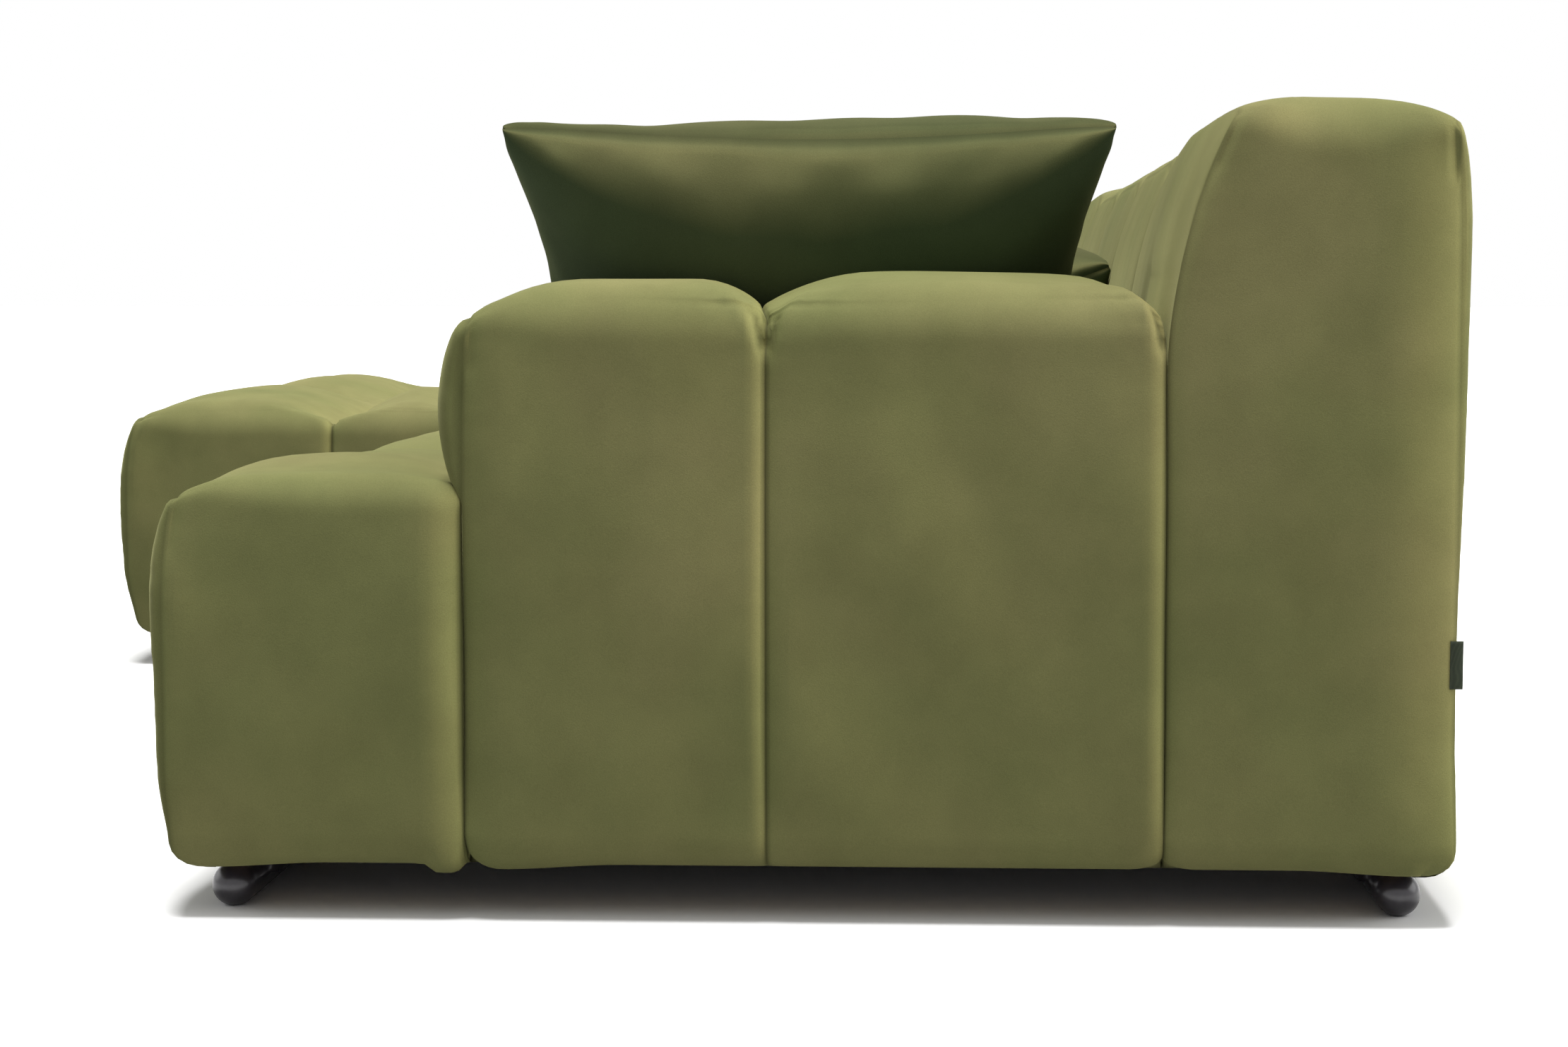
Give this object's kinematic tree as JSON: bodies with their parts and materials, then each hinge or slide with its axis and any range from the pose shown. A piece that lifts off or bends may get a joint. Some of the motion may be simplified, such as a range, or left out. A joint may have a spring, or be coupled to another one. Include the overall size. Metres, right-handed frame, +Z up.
{
  "type": "corner lounge sofa",
  "caption": "Low tufted velvet corner sofa with a settee, one channelled arm, a chaise and loose pillows, on round bar feet.",
  "frame": {"origin": "on the floor, at the middle of the footprint of the whole sofa", "axes": "+X along the length towards the arm end, +Y from the front to the back, +Z up"},
  "size_m": [2.6918, 1.71, 0.747],
  "materials": {
    "velvet": "olive green velvet pile",
    "foam": "cut foam",
    "timber": "sawn softwood",
    "webbing": "elastic webbing",
    "dust_cloth": "non-woven black cloth",
    "foot_lacquer": "satin charcoal",
    "steel": "zinc plated",
    "tab_cloth": "plain woven tab"
  },
  "bodies": {
    "sofa": {"arm_cover": "velvet", "arm_foam": "foam", "arm_front_post": "timber", "arm_rear_post": "timber", "arm_top_rail": "timber", "chaise_back_cover": "velvet", "chaise_back_foam": "foam", "chaise_back_post_left": "timber", "chaise_back_post_right": "timber", "chaise_back_top_rail": "timber", "chaise_dust_cover": "dust_cloth", "chaise_foot_front_left": "foot_lacquer", "chaise_foot_front_right": "foot_lacquer", "chaise_foot_rear_left": "foot_lacquer", "chaise_foot_rear_right": "foot_lacquer", "chaise_front_rail": "timber", "chaise_left_rail": "timber", "chaise_rear_rail": "timber", "chaise_right_rail": "timber", "chaise_seat_cover": "velvet", "chaise_seat_foam": "foam", "chaise_seat_rail": "timber", "chaise_webbing_1": "webbing", "chaise_webbing_2": "webbing", "chaise_webbing_3": "webbing", "chaise_webbing_4": "webbing", "joining_bolt_front_chaise": "steel", "joining_bolt_front_settee": "steel", "joining_bolt_rear_chaise": "steel", "joining_bolt_rear_settee": "steel", "joining_plate_front": "steel", "joining_plate_rear": "steel", "seam_tab": "tab_cloth", "settee_back_cover": "velvet", "settee_back_foam": "foam", "settee_back_post_left": "timber", "settee_back_post_middle": "timber", "settee_back_post_right": "timber", "settee_back_top_rail": "timber", "settee_dust_cover": "dust_cloth", "settee_foot_front_left": "foot_lacquer", "settee_foot_front_right": "foot_lacquer", "settee_foot_rear_left": "foot_lacquer", "settee_foot_rear_right": "foot_lacquer", "settee_front_cover": "velvet", "settee_front_rail": "timber", "settee_left_rail": "timber", "settee_rear_rail": "timber", "settee_right_rail": "timber", "settee_seat_cover": "velvet", "settee_seat_foam": "foam", "settee_seat_rail": "timber", "settee_webbing_1": "webbing", "settee_webbing_2": "webbing", "settee_webbing_3": "webbing", "settee_webbing_4": "webbing"},
    "arm_pillow": {"arm_pillow": "velvet"},
    "back_pillow": {"back_pillow": "velvet"}
  },
  "joints": [
    {"name": "arm_pillow_lift", "type": "slide", "parent": "sofa", "child": "arm_pillow", "axis": [0, 0, 1], "range_m": [0, 0.3]},
    {"name": "back_pillow_lift", "type": "slide", "parent": "sofa", "child": "back_pillow", "axis": [0, 0, 1], "range_m": [0, 0.3]}
  ]
}
